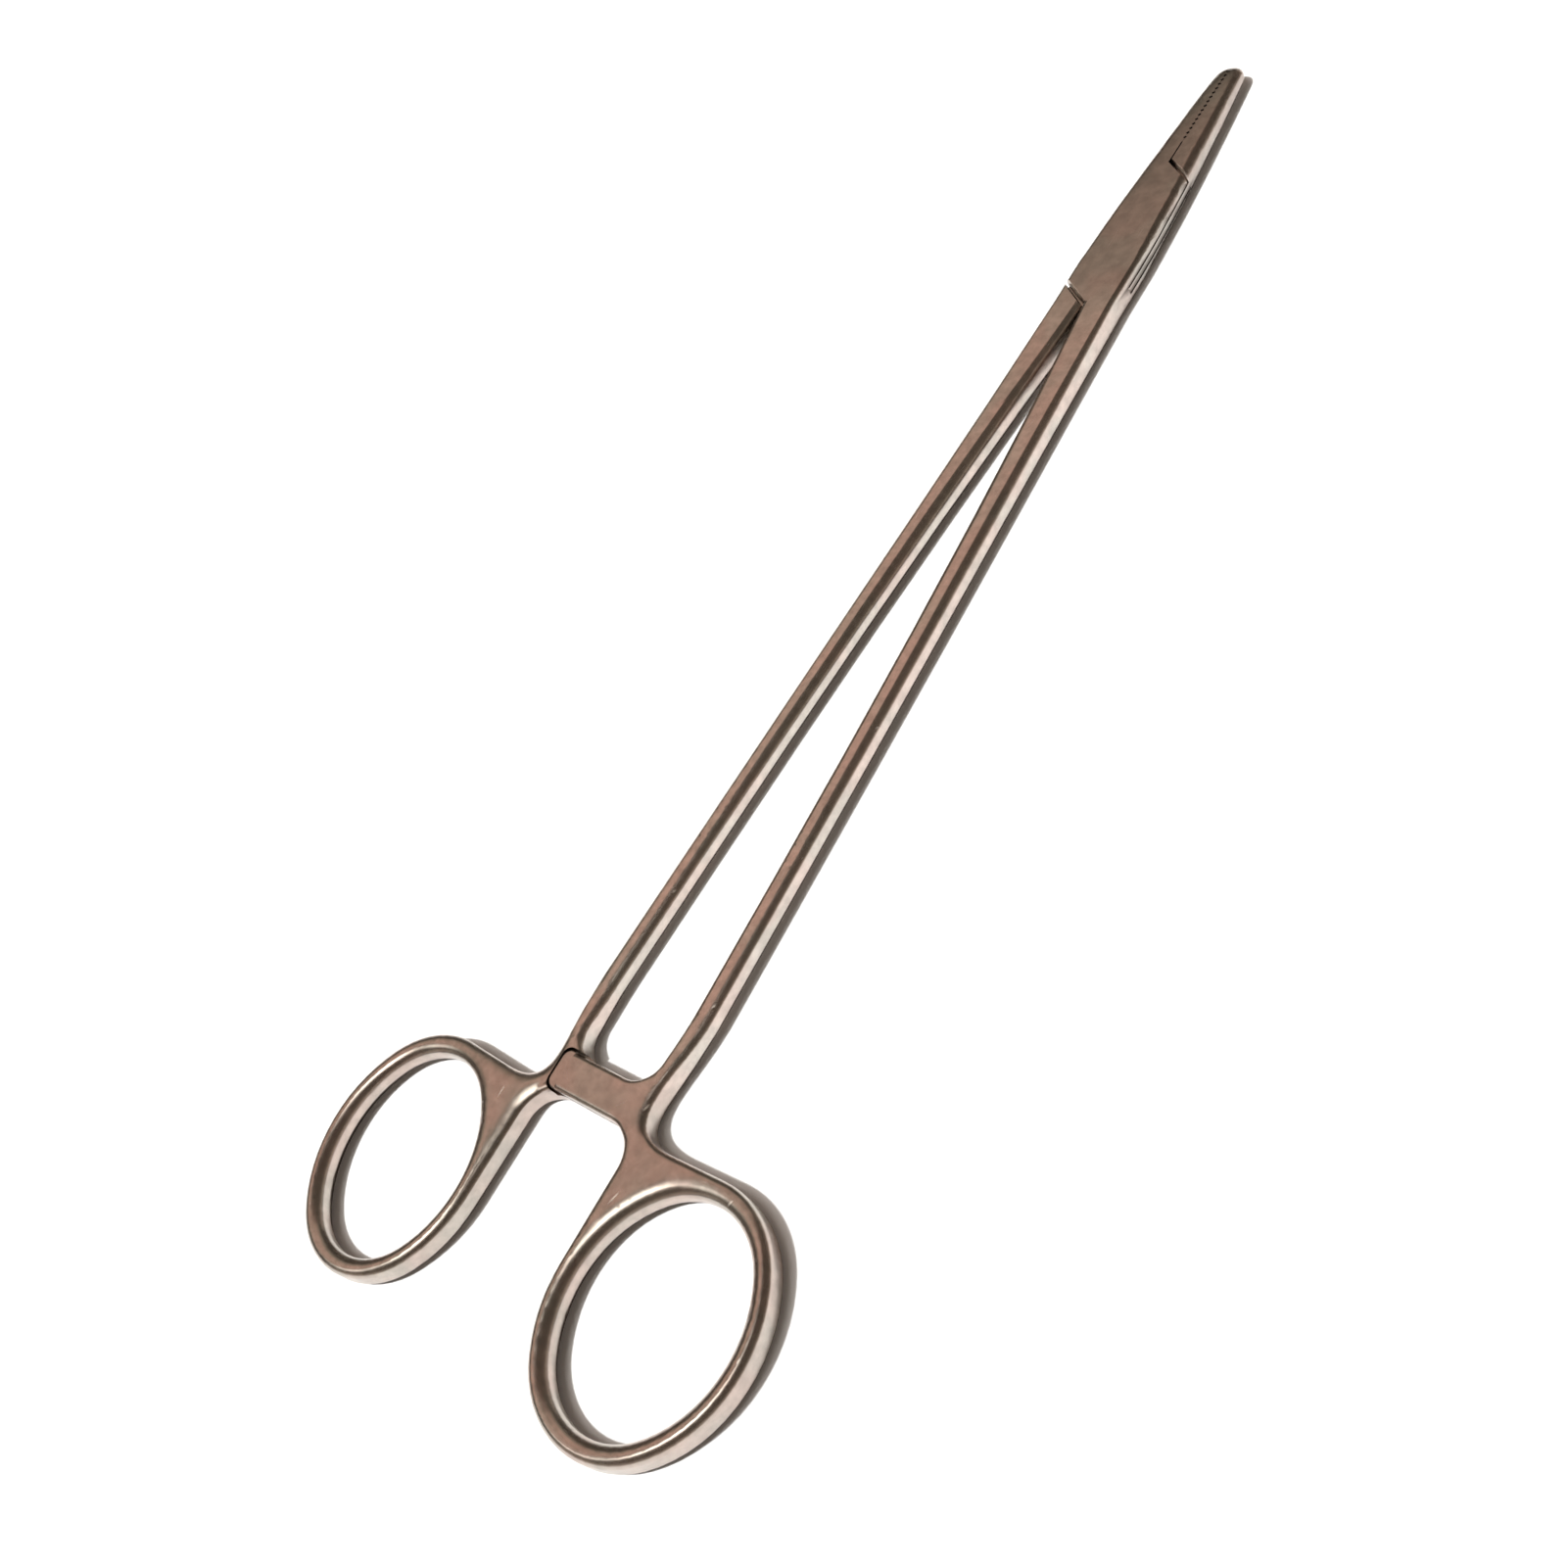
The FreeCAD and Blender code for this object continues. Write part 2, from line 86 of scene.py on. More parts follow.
# The steel of both halves and the pin: martensitic stainless steel (common name: instrument steel), drop forged,
# ground on a belt and then brushed to a satin finish. To the eye it is a soft mirror: flats take the tone of the room
# with a faint cloudy grain, the rounded edges run from dark to light in one band, and spots of wear glint. Painted
# into its colour are a highlight on the knocks, shade on the edges that face the table and shade on the box and jaws.

STEEL = "satin_ground_stainless_steel"
LOWER_EDGE = "lower_edge"  # vertex attribute: 1 on the rounded edges that face the table, where a contact shade is painted
RING_CENTRE = (22.0, -84.6)  # middle of a finger hole, in mm, mirrored for the other ring
RING_RADIUS = 13.0  # radius in mm at which a belt mark round the ring is as long as one on a shank
RINGS_TO_SHANKS = (-68.0, -60.0)  # y in mm between which the finish of the rings turns into that of the shanks
SHANKS_TO_JAWS = (50.0, 60.0)  # and between which that tone turns into the darker one of the box and jaws, a painted shade
WAVE_LENGTH = 9.0  # of the slow wave that the belt leaves, in mm
GRAIN_SPREAD = (0.25, 0.75)  # heights of the grain's noise between which its effect on the gloss is spread
CLOUD_SPREAD = (0.35, 0.65)  # the same for the clouds in the tone
STAIN_SPREAD = (0.38, 0.62)  # and for the cool and warm patches

CLOUDS = (0.87, 1.08)  # share of the tone in the darkest and the lightest clouds
COOL_STAIN = (0.97, 1.0, 0.99, 1.0)  # share of red, green and blue in a cool patch
WARM_STAIN = (1.04, 0.985, 0.975, 1.0)  # and in a warm one
CONTACT_SHADE_TONE = "4a4039"  # painted contact shade: the dark colour put on the lower edges that face the table
WORN_HIGHLIGHT_TONE = "fbf3ea"  # a knock: bare steel, lightened with a painted highlight
WORN_ROUGHNESS = 0.5
GRAIN_ROUGHNESS = 0.004  # how far the grain moves the roughness up and down
GRAIN_RELIEF = 0.004  # in mm, before grain_strength
MOTTLE_RELIEF = 0.0006  # in mm
WAVE_RELIEF = 0.012  # in mm

KNOCK_HEIGHT = (3.4, 1.0)  # middle and half height in mm, so that a knock shows on the upper face alone
KNOCK_RIM = (1.0, 0.4)  # share of a knock's half size at which it begins and is full
KNOCKS = (  # x, y, half length and half width in mm, and turn in degrees
    (-12.3, -72.5, 0.90, 0.15, 90),
    (8.0, -66.3, 0.65, 0.14, 82),
    (10.8, -76.4, 1.00, 0.16, 74),
    (7.0, -71.0, 0.35, 0.14, 50),
    (24.3, -70.9, 0.50, 0.15, 56),
    (34.6, -83.5, 0.40, 0.14, 85),
    (8.5, -52.9, 0.40, 0.12, 72),
    (-6.3, -42.1, 0.45, 0.12, 72),
    (7.5, -14.2, 0.45, 0.12, 72),
    (2.60, 78.45, 2.9, 0.25, -39.7),  # the rims of the two slanted steps: a painted highlight on rubbed rims
    (-2.26, 55.95, 3.2, 0.32, -39.7),
)


def belt_marks(tree, place):
    """The height of the belt's marks, which run along the place's second axis. The real ones are a few hundredths of
    a millimetre wide, too fine to show, so they are drawn about ten times as coarse."""
    look = bpy.context.scene.needle_holder_steel
    in_marks = add_node(
        tree,
        "ShaderNodeMapping",
        values={"Scale": (1 / look.mark_width, 1 / look.mark_length, 1 / look.mark_width)},
        links={"Vector": place},
    )
    marks = add_node(
        tree,
        "ShaderNodeTexNoise",
        values={"Scale": 1.0, "Detail": 2.0, "Roughness": 0.6},
        links={"Vector": in_marks.outputs["Vector"]},
    )
    return marks.outputs[0]


def steel():
    """Satin-ground stainless steel, patterned in millimetres on Object coordinates."""
    look = bpy.context.scene.needle_holder_steel
    made = bpy.data.materials.new(STEEL)
    made.use_nodes = True
    tree = made.node_tree
    tree.nodes.clear()

    place = add_node(tree, "ShaderNodeTexCoord")
    in_mm = add_node(
        tree, "ShaderNodeMapping", values={"Scale": (1 / MM,) * 3}, links={"Vector": place.outputs["Object"]}
    )
    apart = add_node(tree, "ShaderNodeSeparateXYZ", links={"Vector": in_mm.outputs["Vector"]})

    # Along the shanks and jaws the marks run straight. Round the rings they follow the hole: radius across, arc
    # length along.
    straight_grain = belt_marks(tree, in_mm.outputs["Vector"])
    side = add_node(tree, "ShaderNodeMath", {"operation": "ABSOLUTE"}, links={0: apart.outputs["X"]})
    across = add_node(tree, "ShaderNodeMath", {"operation": "SUBTRACT"}, {1: RING_CENTRE[0]}, {0: side.outputs[0]})
    along = add_node(tree, "ShaderNodeMath", {"operation": "SUBTRACT"}, {1: RING_CENTRE[1]}, {0: apart.outputs["Y"]})
    flat_place = add_node(tree, "ShaderNodeCombineXYZ", links={"X": across.outputs[0], "Y": along.outputs[0]})
    radius = add_node(
        tree, "ShaderNodeVectorMath", {"operation": "LENGTH"}, links={0: flat_place.outputs["Vector"]}
    )
    turn = add_node(
        tree, "ShaderNodeMath", {"operation": "ARCTAN2"}, links={0: along.outputs[0], 1: across.outputs[0]}
    )
    arc_length = add_node(tree, "ShaderNodeMath", {"operation": "MULTIPLY"}, {1: RING_RADIUS}, {0: turn.outputs[0]})
    round_place = add_node(
        tree,
        "ShaderNodeCombineXYZ",
        links={"X": radius.outputs["Value"], "Y": arc_length.outputs[0], "Z": apart.outputs["Z"]},
    )
    round_grain = belt_marks(tree, round_place.outputs["Vector"])
    above_rings = add_node(
        tree,
        "ShaderNodeMapRange",
        {"interpolation_type": "SMOOTHSTEP"},
        {"From Min": RINGS_TO_SHANKS[0], "From Max": RINGS_TO_SHANKS[1]},
        {"Value": apart.outputs["Y"]},
    )
    grain = add_node(
        tree,
        "ShaderNodeMix",
        {"data_type": "FLOAT"},
        links={"Factor": above_rings.outputs["Result"], "A": round_grain, "B": straight_grain},
    )

    # A cloudy mottle with clouds of some 2 mm, from hand and steriliser, and the slow wave of the belt.
    mottle = add_node(
        tree,
        "ShaderNodeTexNoise",
        values={"Scale": 1 / look.mottle_size, "Detail": 4.0, "Roughness": 0.62},
        links={"Vector": in_mm.outputs["Vector"]},
    )
    wave = add_node(
        tree,
        "ShaderNodeTexNoise",
        values={"Scale": 1 / WAVE_LENGTH, "Detail": 1.0, "Roughness": 0.4},
        links={"Vector": in_mm.outputs["Vector"]},
    )

    # The knocks, where wear is lightened by a painted highlight: each is an oval, 0 at its rim and 1 in its middle.
    worn_with_highlight = None
    for x, y, half_length, half_width, degrees in KNOCKS:
        spot = add_node(
            tree,
            "ShaderNodeMapping",
            {"vector_type": "TEXTURE"},
            {
                "Location": (x, y, KNOCK_HEIGHT[0]),
                "Rotation": (0.0, 0.0, math.radians(degrees)),
                "Scale": (half_length, half_width, KNOCK_HEIGHT[1]),
            },
            {"Vector": in_mm.outputs["Vector"]},
        )
        far = add_node(tree, "ShaderNodeVectorMath", {"operation": "LENGTH"}, links={0: spot.outputs["Vector"]})
        near = add_node(
            tree,
            "ShaderNodeMapRange",
            {"interpolation_type": "SMOOTHSTEP"},
            {"From Min": KNOCK_RIM[0], "From Max": KNOCK_RIM[1]},
            {"Value": far.outputs["Value"]},
        )
        if worn_with_highlight is None:
            worn_with_highlight = near.outputs["Result"]
        else:
            joined = add_node(
                tree, "ShaderNodeMath", {"operation": "MAXIMUM"}, links={0: worn_with_highlight, 1: near.outputs["Result"]}
            )
            worn_with_highlight = joined.outputs[0]

    # Tone: the rings, the shanks, and the box and jaws have a warm grey each; the darker, greyer one of the box and
    # jaws is painted shade. Warm and cool patches, clouds, the painted contact shade on the lower edges and the
    # knocks, lightened by a painted highlight, lie over it in this order.
    to_jaws = add_node(
        tree,
        "ShaderNodeMapRange",
        {"interpolation_type": "SMOOTHSTEP"},
        {"From Min": SHANKS_TO_JAWS[0], "From Max": SHANKS_TO_JAWS[1]},
        {"Value": apart.outputs["Y"]},
    )
    low_tone = add_node(
        tree,
        "ShaderNodeMix",
        {"data_type": "RGBA"},
        {"A": (*look.web_tone, 1.0), "B": (*look.shank_tone, 1.0)},
        {"Factor": above_rings.outputs["Result"]},
    )
    tone = add_node(
        tree,
        "ShaderNodeMix",
        {"data_type": "RGBA"},
        {"B": (*look.jaw_shaded_tone, 1.0)},
        {"A": low_tone.outputs["Result"], "Factor": to_jaws.outputs["Result"]},
    )
    clouds = add_node(
        tree,
        "ShaderNodeMapRange",
        values={
            "From Min": CLOUD_SPREAD[0],
            "From Max": CLOUD_SPREAD[1],
            "To Min": CLOUDS[0],
            "To Max": CLOUDS[1],
        },
        links={"Value": mottle.outputs[0]},
    )
    warmth = add_node(
        tree,
        "ShaderNodeTexNoise",
        values={"Scale": 1 / look.warm_size, "Detail": 1.5, "Roughness": 0.5},
        links={"Vector": in_mm.outputs["Vector"]},
    )
    warm_share = add_node(
        tree,
        "ShaderNodeMapRange",
        {"interpolation_type": "SMOOTHSTEP"},
        {"From Min": STAIN_SPREAD[0], "From Max": STAIN_SPREAD[1]},
        {"Value": warmth.outputs[0]},
    )
    stain = add_node(
        tree,
        "ShaderNodeMix",
        {"data_type": "RGBA"},
        {"A": COOL_STAIN, "B": WARM_STAIN},
        {"Factor": warm_share.outputs["Result"]},
    )
    stained = add_node(
        tree,
        "ShaderNodeMix",
        {"data_type": "RGBA", "blend_type": "MULTIPLY"},
        {"Factor": 1.0},
        {"A": tone.outputs["Result"], "B": stain.outputs["Result"]},
    )
    clouded = add_node(
        tree,
        "ShaderNodeMix",
        {"data_type": "RGBA", "blend_type": "MULTIPLY"},
        {"Factor": 1.0},
        {"A": stained.outputs["Result"], "B": clouds.outputs["Result"]},
    )
    # The lower edges that face the table get a painted contact shade.
    lower_edge = add_node(tree, "ShaderNodeAttribute", {"attribute_name": LOWER_EDGE})
    with_contact_shade = add_node(
        tree,
        "ShaderNodeMix",
        {"data_type": "RGBA"},
        {"B": opaque(CONTACT_SHADE_TONE)},
        {"Factor": lower_edge.outputs["Fac"], "A": clouded.outputs["Result"]},
    )
    # A painted highlight lightens the knocks and the rims of the steps.
    colour = add_node(
        tree,
        "ShaderNodeMix",
        {"data_type": "RGBA"},
        {"B": opaque(WORN_HIGHLIGHT_TONE)},
        {"Factor": worn_with_highlight, "A": with_contact_shade.outputs["Result"]},
    )

    # Gloss: the grain makes it a little uneven, and the knocks are rougher.
    grain_gloss = add_node(
        tree,
        "ShaderNodeMapRange",
        values={
            "From Min": GRAIN_SPREAD[0],
            "From Max": GRAIN_SPREAD[1],
            "To Min": look.roughness - GRAIN_ROUGHNESS,
            "To Max": look.roughness + GRAIN_ROUGHNESS,
        },
        links={"Value": grain.outputs["Result"]},
    )
    gloss = add_node(
        tree,
        "ShaderNodeMix",
        {"data_type": "FLOAT"},
        {"B": WORN_ROUGHNESS},
        {"Factor": worn_with_highlight, "A": grain_gloss.outputs["Result"]},
    )

    # Relief: the grain is about a tenth of a micron deep, the mottle half a micron and the wave some twelve microns.
    relief = None
    for height, strength, depth in (
        (grain.outputs["Result"], look.grain_strength, GRAIN_RELIEF),
        (mottle.outputs[0], 1.0, MOTTLE_RELIEF),
        (wave.outputs[0], 1.0, WAVE_RELIEF),
    ):
        under = {} if relief is None else {"Normal": relief.outputs["Normal"]}
        relief = add_node(
            tree,
            "ShaderNodeBump",
            values={"Strength": strength, "Distance": depth * MM},
            links={"Height": height, **under},
        )

    shader = add_node(
        tree,
        "ShaderNodeBsdfPrincipled",
        values={"Metallic": 1.0},
        links={
            "Base Color": colour.outputs["Result"],
            "Roughness": gloss.outputs["Result"],
            "Normal": relief.outputs["Normal"],
        },
    )
    add_node(tree, "ShaderNodeOutputMaterial", links={"Surface": shader.outputs["BSDF"]})
    return made


def shared_steel():
    """The one steel material, made at its first use."""
    return bpy.data.materials.get(STEEL) or steel()


CAD_ROUND = 0.8  # rounding of the long edges in the CAD solids, in mm
HOLE_ROUND = 1.1  # the same round the finger holes
HOLE_REACH = 13.2  # from the middle of a finger hole to between its wall and the ring's outside, in mm
HOLE_SHOULDER = (1.8, 1.5)  # width over the flats and height of the shoulders round the holes, in mm
HALF_THICKNESS = 1.8  # in mm
SHOULDERS = {  # the other shoulders of each half: y, width and height, in mm
    "female_half": (
        (-100.0, 1.2, 1.1),
        (-76.0, 1.2, 0.9),
        (-70.0, 1.1, 0.9),
        (-48.0, 1.05, 0.9),
        (20.0, 0.95, 0.9),
        (45.0, 0.9, 0.9),
    ),
    "male_half": (
        (-100.0, 1.2, 1.1),
        (-82.0, 1.6, 1.0),
        (-75.0, 2.6, 0.9),
        (-70.0, 2.2, 0.9),
        (-60.0, 1.2, 0.9),
        (20.0, 1.0, 0.9),
        (45.0, 0.9, 0.9),
    ),
}
RATCHET = (0.0, -66.95, 6.5, 2.8)  # middle and half sizes of the place where the arms lie, in mm
BOX_LOCK = 52.0  # y in mm from which the box and jaws keep the CAD's edges
FADE = 1.6  # length in mm over which the shoulders end beside both
NEAR_MIDDLE = 0.25  # height in mm on either side of the mid plane that stays as it is

WALL = 0.03  # most upright share of a wall's normal
ROUNDED = 0.9  # and of the first facet of the rounded edge above it
LEVEL = 0.9999  # least upright share of a flat's normal
LOWER_EDGES = (-0.9, -0.25)  # upright shares of the normals on the rounded edges that face the table
WALL_POINTS = 41  # points on each stretch of a wall's top
FINEST = 0.3  # length in mm down to which edges are halved beside a wall
GROWTH = 0.6  # share of the distance from the wall by which they may be longer
HALVINGS = 9  # rounds of halving
SLIVER = 0.01  # share of the longest edge's square: a face with less area is left as it was cut
SAME_POINT = 0.0005  # distance in mm within which points are one
NO_LENGTH = 0.0001  # length in mm under which an edge is dissolved


def plan(points):
    """The plan positions of some vertices, in mm."""
    return np.array([point.co.xy[:] for point in points]) / MM


def wall_tops(body):
    """Plan points, evenly spaced on each stretch of the lines where the upright walls end and the rounded edges
    begin."""
    ends = []
    for edge in body.edges:
        if not edge.is_manifold:
            continue
        steep, flat = sorted(abs(face.normal.z) for face in edge.link_faces)
        if steep < WALL < flat < ROUNDED:
            ends.append([vertex.co.xy[:] for vertex in edge.verts])
    ends = np.array(ends) / MM
    share = np.linspace(0.0, 1.0, WALL_POINTS)[:, None, None]
    return (ends[:, 0] + (ends[:, 1] - ends[:, 0]) * share).reshape(-1, 2)


def tree_of(walls):
    """A search tree of plan points."""
    tree = mathutils.kdtree.KDTree(len(walls))
    for number, (x, y) in enumerate(walls):
        tree.insert((x, y, 0.0), number)
    tree.balance()
    return tree


def nearest(tree, places):
    """The distance in mm from each plan position to the walls."""
    return np.array([tree.find((x, y, 0.0))[2] for x, y in places])


def shoulder_fall(distance, width, height, cad_round):
    """How far the surface lies under the CAD's at a distance from the wall: a quarter oval, the shoulder's width
    across and its height deep, less the quarter circle that the CAD has there."""
    oval = height * (1 - np.sqrt(1 - np.clip(1 - distance / width, 0.0, 1.0) ** 2))
    circle = cad_round * (1 - np.sqrt(1 - np.clip(1 - distance / cad_round, 0.0, 1.0) ** 2))
    return np.maximum(oval - circle, 0.0)


def shoulder_share(places):
    """1 where the shoulders are full and 0 at the ratchet and the box lock, eased in between."""
    beside = np.abs(places - RATCHET[:2]) - RATCHET[2:]
    away = np.clip(np.hypot(*np.maximum(beside, 0.0).T) / FADE, 0.0, 1.0)
    below = np.clip((BOX_LOCK - places[:, 1]) / FADE, 0.0, 1.0)
    share = away * below
    return share * share * (3 - 2 * share)


def off_middle(point):
    """Whether a vertex lies clear of the mid plane, where the ratchet arms meet."""
    return abs(point.co.z / MM - HALF_THICKNESS) > NEAR_MIDDLE


def level_faces(body):
    """The flats of shanks, rings and webs, without the undersides of the ratchet arms."""
    body.normal_update()
    return [
        face
        for face in body.faces
        if abs(face.normal.z) > LEVEL and face.verts[0].co.y < BOX_LOCK * MM and off_middle(face.verts[0])
    ]


def longest_edge(face):
    """The length of a face's longest edge."""
    return max(edge.calc_length() for edge in face.edges)


def edges_beside(body, faces, how_many):
    """The edges that have so many of these faces beside them, or more."""
    chosen = set(faces)
    return [edge for edge in body.edges if sum(face in chosen for face in edge.link_faces) >= how_many]


def draw_out_shoulders(body, shoulders):
    """Grinding on a soft wheel draws the shoulders out over the flats: the flats are cut finely beside the walls,
    then every point there sinks by shoulder_fall."""
    body.normal_update()
    walls = wall_tops(body)
    in_hole = np.hypot(np.abs(walls[:, 0]) - RING_CENTRE[0], walls[:, 1] - RING_CENTRE[1]) < HOLE_REACH
    holes = tree_of(walls[in_hole])
    outsides = tree_of(walls[~in_hole])

    for _ in range(HALVINGS):
        edges = edges_beside(body, level_faces(body), 1)
        middles = (plan(edge.verts[0] for edge in edges) + plan(edge.verts[1] for edge in edges)) / 2
        away = np.minimum(nearest(holes, middles), nearest(outsides, middles))
        limits = np.maximum(FINEST, GROWTH * away) * MM
        long = [edge for edge, limit in zip(edges, limits) if edge.calc_length() > limit]
        bmesh.ops.subdivide_edges(body, edges=long, cuts=1)
        bmesh.ops.triangulate(body, faces=[face for face in body.faces if len(face.verts) > 3])
        level = [face for face in level_faces(body) if face.calc_area() > SLIVER * longest_edge(face) ** 2]
        bmesh.ops.beautify_fill(body, faces=level, edges=edges_beside(body, level, 2), method="AREA")

    # Where a sliver was cut, two faces may lie back to back on the same three points: both go.
    by_points = {}
    for face in body.faces:
        by_points.setdefault(frozenset(face.verts), []).append(face)
    doubled = [face for faces in by_points.values() if len(faces) > 1 for face in faces]
    bmesh.ops.delete(body, geom=doubled, context="FACES")

    points = [point for point in body.verts if off_middle(point) and point.co.y < BOX_LOCK * MM]
    places = plan(points)
    y, width, height = zip(*shoulders)
    width = np.interp(places[:, 1], y, width)
    height = np.interp(places[:, 1], y, height)
    fall = shoulder_fall(nearest(outsides, places), width, height, CAD_ROUND)
    fall += shoulder_fall(nearest(holes, places), *HOLE_SHOULDER, HOLE_ROUND)
    for point, drop in zip(points, fall * shoulder_share(places)):
        point.co.z -= math.copysign(drop * MM, point.co.z - HALF_THICKNESS * MM)


def smoothed_copy(node_name, piece_name, sharp_above):
    """A copy of a CAD node with its loose triangles joined, smooth over the rounded edges and crisp at the real
    ones."""
    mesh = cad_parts[node_name].data.copy()
    mesh.name = piece_name
    body = bmesh.new()
    body.from_mesh(mesh)
    bmesh.ops.remove_doubles(body, verts=body.verts, dist=SAME_POINT * MM)
    bmesh.ops.dissolve_degenerate(body, edges=body.edges, dist=NO_LENGTH * MM)
    draw_out_shoulders(body, SHOULDERS[node_name])
    body.normal_update()
    for face in body.faces:
        face.smooth = True
    for edge in body.edges:
        edge.smooth = edge.is_manifold and edge.calc_face_angle(0.0) < sharp_above
    # 1 where the painted contact shade goes: the rounded edges that face the table
    contact_shade = [1.0 if LOWER_EDGES[0] < vertex.normal.z < LOWER_EDGES[1] else 0.0 for vertex in body.verts]
    body.to_mesh(mesh)
    body.free()
    mesh.attributes.new(LOWER_EDGE, "FLOAT", "POINT").data.foreach_set("value", contact_shade)
    mesh.materials.clear()
    mesh.materials.append(shared_steel())
    piece = bpy.data.objects.new(piece_name, mesh)
    bpy.context.scene.collection.objects.link(piece)
    weights = piece.modifiers.new("even_flats", "WEIGHTED_NORMAL")
    weights.mode = "FACE_AREA"
    weights.keep_sharp = True
    return piece


class NeedleHolderSteel(bpy.types.PropertyGroup):
    """The finish of the steel."""

    web_tone: FloatVectorProperty(
        name="Web tone", description="Warm grey of rings, webs and arms", subtype="COLOR", default=linear("beb4ac")
    )
    shank_tone: FloatVectorProperty(
        name="Shank tone", description="Warm grey of the shanks", subtype="COLOR", default=linear("cdc3bb")
    )
    # Painted shade: the box and jaws get a darker, greyer copy of the steel's tone, for how they mirror the room.
    jaw_shaded_tone: FloatVectorProperty(
        name="Jaw tone", description="Greyer tone of box and jaws", subtype="COLOR", default=linear("b4aca5")
    )
    roughness: FloatProperty(
        name="Roughness",
        description="How soft the steel mirrors",
        default=0.27,
        min=0.05,
        max=0.8,
        subtype="FACTOR",
    )
    grain_strength: FloatProperty(
        name="Grain strength",
        description="How clear the belt marks are",
        default=0.03,
        min=0.0,
        max=1.0,
        subtype="FACTOR",
    )
    mark_width: FloatProperty(name="Mark width", description="Width of a belt mark in mm", default=0.22)
    mark_length: FloatProperty(name="Mark length", description="Length of a belt mark in mm", default=5.0)
    warm_size: FloatProperty(name="Warm patches", description="Width of a warm or cool patch in mm", default=7.0)
    mottle_size: FloatProperty(name="Mottle size", description="Width of one cloud in mm", default=1.6)
    crease_angle: FloatProperty(
        name="Crease angle",
        description="Edges sharper than this stay crisp",
        default=math.radians(34),
        subtype="ANGLE",
    )


class NeedleHolderStage(bpy.types.PropertyGroup):
    """Table, light and camera."""

    table_reach: FloatProperty(name="Table reach", description="Radius of the table", default=1.6, subtype="DISTANCE")
    table_rings: IntProperty(name="Table rings", description="Rows of faces from middle to rim", default=12)
    table_tone: FloatVectorProperty(
        name="Table tone", description="White of the table", subtype="COLOR", default=linear("f6f7f8")
    )
    key_strength: FloatProperty(name="Key strength", description="Light of the sun lamp", default=3.35)
    key_spread: FloatProperty(
        name="Key spread",
        description="Width of the light as seen from the table",
        default=math.radians(5),
        subtype="ANGLE",
    )
    key_turn: FloatVectorProperty(
        name="Key turn",
        description="Where the key light comes from",
        subtype="EULER",
        default=(math.radians(25), 0.0, math.radians(-30)),
    )
    camera_place: FloatVectorProperty(
        name="Camera place",
        description="Where the camera stands",
        subtype="TRANSLATION",
        default=(0.128273, -0.082027, 0.143473),
    )
    camera_turn: FloatVectorProperty(
        name="Camera turn",
        description="How the camera is turned",
        subtype="EULER",
        default=tuple(math.radians(a) for a in (39.0399, 30.0910, 36.9141)),
    )
    camera_lens: FloatProperty(
        name="Lens", description="Focal length on a 36 mm sensor", default=37.87, unit="CAMERA"
    )
    camera_shift: FloatVectorProperty(
        name="Shift", description="Shift of the frame from the optical axis", size=2, default=(0.0597, -0.0134)
    )


class NEEDLEHOLDER_OT_female_half(bpy.types.Operator):
    """Dress the half with the box walls, the right shank and the left jaw"""

    bl_idname = "needle_holder.female_half"
    bl_label = "Half with the box walls"

    def execute(self, context):
        piece = smoothed_copy("female_half", "ground_female_half", context.scene.needle_holder_steel.crease_angle)
        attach(piece, "female")
        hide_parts("female_half")
        return {"FINISHED"}


class NEEDLEHOLDER_OT_male_half(bpy.types.Operator):
    """Dress the half with the tongue, the left shank and the right jaw"""

    bl_idname = "needle_holder.male_half"
    bl_label = "Half with the tongue"

    def execute(self, context):
        piece = smoothed_copy("male_half", "ground_male_half", context.scene.needle_holder_steel.crease_angle)
        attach(piece, "male")
        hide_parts("male_half")
        return {"FINISHED"}


class NEEDLEHOLDER_OT_pivot_pin(bpy.types.Operator):
    """Give the flush pin the steel's finish"""

    bl_idname = "needle_holder.pivot_pin"
    bl_label = "Pivot pin"

    def execute(self, context):
        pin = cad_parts["pivot_pin"]
        pin.data.materials.clear()
        pin.data.materials.append(shared_steel())
        return {"FINISHED"}


def table_surface(reach, rings, sides=96):
    """A level disc: radius = reach times the square of the share from middle to rim, turned once round Z."""
    share = np.linspace(0.0, 1.0, rings + 1)[1:, None] ** 2
    turn = np.linspace(0.0, 2 * math.pi, sides, endpoint=False)[None, :]
    x = reach * share * np.cos(turn)
    y = reach * share * np.sin(turn)
    points = np.stack([x, y, np.zeros_like(x)], axis=-1).reshape(-1, 3)
    points = np.vstack([points, [[0.0, 0.0, 0.0]]])
    row, place = np.meshgrid(np.arange(rings - 1), np.arange(sides), indexing="ij")
    after = (place + 1) % sides
    quads = np.stack(
        [row * sides + place, (row + 1) * sides + place, (row + 1) * sides + after, row * sides + after], axis=-1
    ).reshape(-1, 4)
    first = np.arange(sides)
    fan = np.stack([np.full(sides, len(points) - 1), first, (first + 1) % sides], axis=-1)
    mesh = bpy.data.meshes.new("white_table")
    mesh.from_pydata(points.tolist(), [], quads.tolist() + fan.tolist())
    mesh.update()
    return mesh


CARD_GLOW = 0.03  # strength of the card's own white, where 1 is white
CARD_GLOW_TONE = (1.0, 0.88, 0.8, 1.0)  # linear, and warm, as the shadow is


